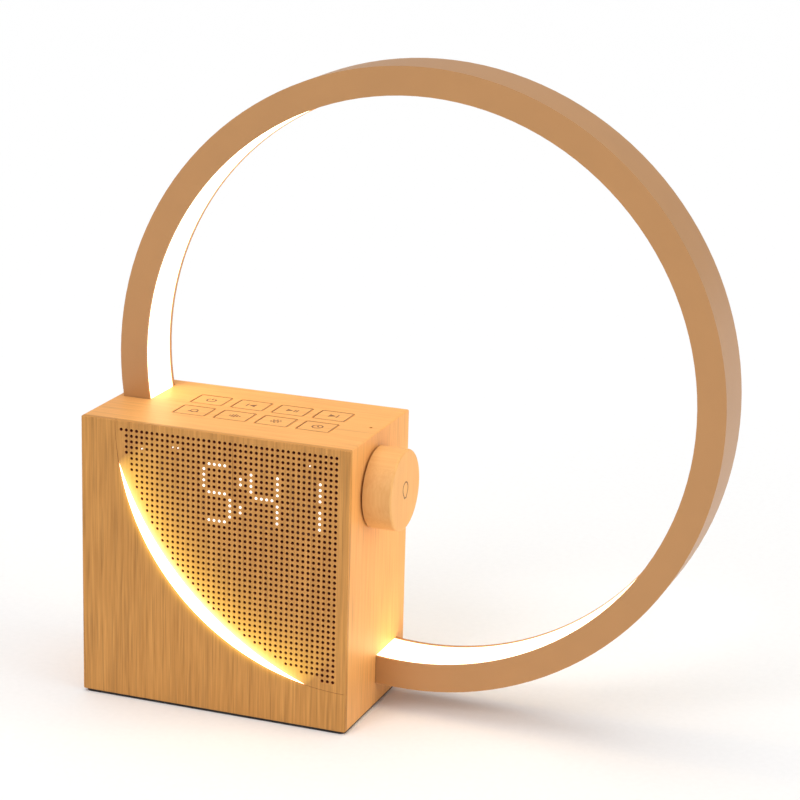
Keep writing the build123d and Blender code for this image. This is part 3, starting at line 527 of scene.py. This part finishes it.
def play_pause(marks):
    marks.plate([(-2.2, 1.6), (-2.2, -1.6), (0.3, 0)])
    for x in (1.1, 2.1):
        marks.line([(x, -1.5), (x, 1.5)], PAUSE_STROKE)


def next_track(marks):
    marks.plate([(1.1, 0), (-1.7, 1.7), (-1.7, -1.7)])
    marks.line([(1.7, -1.7), (1.7, 1.7)], BAR_STROKE)


KEY_ICONS = {
    "key_alarm": bell, "key_sound": sound_bars, "key_light": sun, "key_timer": clock,
    "key_power": power, "key_previous": previous_track, "key_play": play_pause, "key_next": next_track,
}


def key_edge_shade(marks, half_w, half_d):
    """Line of painted shade that follows the key's rounded edge, standing in for the dark gap round the
    key.
    """
    x, y = half_w - KEY_CORNER_R, half_d - KEY_CORNER_R
    radius = KEY_CORNER_R - KEY_EDGE_INSET
    path = []
    for i, (cx, cy) in enumerate(((x, y), (-x, y), (-x, -y), (x, -y))):
        path += arc(cx, cy, radius, 90 * i, 90 * i + 90, 6)
    marks.line(path, KEY_EDGE_SHADE_WIDTH, closed=True)


def draw_key(bm, box, draw):
    """Icon and edge line of painted shade on a key's top."""
    lo, hi = box
    marks = Inlay(bm, ((lo.x + hi.x) / 2, (lo.y + hi.y) / 2, hi.z), (1, 0, 0), (0, 1, 0))
    draw(marks)
    key_edge_shade(marks, (hi.x - lo.x) / MM / 2 - KEY_FLANGE_OUT, (hi.y - lo.y) / MM / 2 - KEY_FLANGE_OUT)


def lamp_outline(marks):
    """Bulb shape: a round top that narrows to a short neck."""
    marks.line(arc(0, 0.6, 2.6, -35, 215, 24) + [(-0.9, -2.9), (0.9, -2.9)], STROKE, closed=True)


def make_icons():
    """Icons and edge lines of painted shade on the keys, and the outline on the knob."""
    ink_and_shade, n = new_material("icon_ink_and_edge_shade")
    coords = n.add("TexCoord").outputs["Object"]
    mottle = n.noise(coords, 1800.0, 2.0, 0.6)
    inputs = {
        "Base Color": n.ramp(mottle, [(0.3, INK_AND_SHADE_DARK), (0.7, INK_AND_SHADE_LIGHT)]),
        "Roughness": n.math("ADD", n.math("MULTIPLY", mottle, 0.2), 0.5),
        "Normal": n.bump(mottle, 0.2, 0.00003),
    }
    n.finish(n.add("BsdfPrincipled", inputs))
    for key, draw in KEY_ICONS.items():
        add_piece(
            key + "_icon", lambda bm: draw_key(bm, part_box(key), draw), ink_and_shade, key + "_body"
        )
    lo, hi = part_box("knob")
    centre = (hi.x, (lo.y + hi.y) / 2, (lo.z + hi.z) / 2)
    add_piece(
        "knob_icon", lambda bm: lamp_outline(Inlay(bm, centre, (0, 1, 0), (0, 0, 1))),
        ink_and_shade, "knob_body",
    )


def pin_centres(node):
    """Centre of each separate pin of a node, as (x, z)."""
    bm = bmesh.new()
    bm.from_mesh(frame["nodes"][node].data)
    bmesh.ops.remove_doubles(bm, verts=bm.verts, dist=0.001 * MM)
    centres = []
    seen = set()
    for first in bm.verts:
        if first in seen:
            continue
        island, queue = [], [first]
        seen.add(first)
        while queue:
            vert = queue.pop()
            island.append(vert.co)
            for edge in vert.link_edges:
                other = edge.other_vert(vert)
                if other not in seen:
                    seen.add(other)
                    queue.append(other)
        xs, zs = [co.x for co in island], [co.z for co in island]
        centres.append(((min(xs) + max(xs)) / 2, (min(zs) + max(zs)) / 2))
    bm.free()
    return centres


def lens_dots(bm, centres, radius, crown):
    """Small domed lenses that face forward, each with a short stub behind."""
    segments, rings, rim_y, stub = 16, 4, FRONT_Y + 0.02 * MM + crown, 1.2 * MM
    for x, z in centres:
        loops = []
        for k in range(rings + 1):
            lift = pi / 2 * k / rings
            r = radius * cos(lift) if k < rings else 0
            y = rim_y - crown * sin(lift)
            loops.append([
                bm.verts.new((x + r * cos(2 * pi * i / segments), y, z + r * sin(2 * pi * i / segments)))
                for i in range(segments if k < rings else 1)
            ])
        back = [bm.verts.new((vert.co.x, rim_y + stub, vert.co.z)) for vert in loops[0]]
        bm.faces.new(back)
        for a, b in zip([back] + loops[:-2], loops[:-1]):
            for i in range(segments):
                j = (i + 1) % segments
                bm.faces.new((a[i], a[j], b[j], b[i]))
        for i in range(segments):
            bm.faces.new((loops[-2][i], loops[-2][(i + 1) % segments], loops[-1][0]))
        for loop in loops[1:]:
            for vert in loop:
                for face in vert.link_faces:
                    face.smooth = True


def make_display_lights():
    """Lenses in place of the lit pins: bright ones for the digits and dim ones for the indicators."""
    centres = pin_centres("display_pins_lit")
    top = max(z for x, z in centres)
    indicators = [(x, z) for x, z in centres if z > top - INDICATOR_BAND]
    digits = [(x, z) for x, z in centres if z <= top - INDICATOR_BAND]
    bright = lit_lens("digit_light", DIGIT_LIGHT, 1.15, 0.3)
    dim = lit_lens("indicator_light", INDICATOR_LIGHT, 0.95, 0.2)
    piece = add_piece(
        "digit_lights", lambda bm: lens_dots(bm, digits, DIGIT_LENS_R, DIGIT_CROWN), bright, "case",
    )
    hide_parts("display_pins_lit")
    add_piece(
        "indicator_lights", lambda bm: lens_dots(bm, indicators, INDICATOR_LENS_R, INDICATOR_CROWN), dim,
        "case",
    )


# Stage, lights and camera

def make_floor():
    """Wide pale sheet at table height."""
    mesh = bpy.data.meshes.new("floor")
    half = FLOOR_HALF
    corners = [(-half, -half, 0), (half, -half, 0), (half, half, 0), (-half, half, 0)]
    mesh.from_pydata(corners, [], [(0, 1, 2, 3)])
    floor = bpy.data.objects.new("floor", mesh)
    bpy.context.scene.collection.objects.link(floor)
    material, n = new_material("floor_paper")
    coords = n.add("TexCoord").outputs["Object"]
    fine = n.noise(coords, 400.0, 2.0, 0.5)
    inputs = {
        "Base Color": n.ramp(fine, [(0.3, FLOOR_LOW), (0.7, FLOOR_HIGH)]),
        "Roughness": 0.8,
        "Specular IOR Level": 0.1,
    }
    n.finish(n.add("BsdfPrincipled", inputs))
    mesh.materials.append(material)


def soft_sun(name, direction, strength, spread):
    """Even light from far away; direction points towards it, spread is its angle in degrees."""
    data = bpy.data.lights.new(name, "SUN")
    data.energy = strength
    data.angle = radians(spread)
    light = bpy.data.objects.new(name, data)
    light.rotation_euler = Vector(direction).to_track_quat("Z", "Y").to_euler()
    bpy.context.scene.collection.objects.link(light)


def make_lights():
    """White surroundings and three soft lights."""
    world = bpy.data.worlds.new("studio")
    world.use_nodes = True
    bpy.context.scene.world = world
    n = Nodes(world.node_tree)
    background = n.add("Background", {"Color": (1.0, 1.0, 1.0, 1.0), "Strength": WORLD_STRENGTH})
    output = n.add("OutputWorld")
    n.tree.links.new(background.outputs[0], output.inputs[0])
    for name, (direction, strength, spread) in SUNS.items():
        soft_sun(name, direction, strength, spread)


def make_camera():
    azimuth, elevation = radians(CAMERA_AZIMUTH), radians(CAMERA_ELEVATION)
    back = Vector((sin(azimuth) * cos(elevation), -cos(azimuth) * cos(elevation), sin(elevation)))
    right = (-back).cross(Vector((0, 0, 1))).normalized()
    up = right.cross(-back)
    roll = radians(CAMERA_ROLL)
    rolled_right = right * cos(roll) + up * sin(roll)
    rolled_up = up * cos(roll) - right * sin(roll)
    data = bpy.data.cameras.new("camera")
    data.lens = CAMERA_LENS
    data.sensor_width = SENSOR_WIDTH
    data.clip_start = 0.01
    data.clip_end = 200.0
    camera = bpy.data.objects.new("camera", data)
    turn = Matrix((rolled_right, rolled_up, back)).transposed().to_4x4()
    camera.matrix_world = Matrix.Translation(TARGET + back * CAMERA_DISTANCE) @ turn
    bpy.context.scene.collection.objects.link(camera)
    bpy.context.scene.camera = camera


bpy.context.scene.view_settings.view_transform = "Standard"
make_camera()
make_lights()
make_floor()
paint_nodes()
make_icons()
make_display_lights()
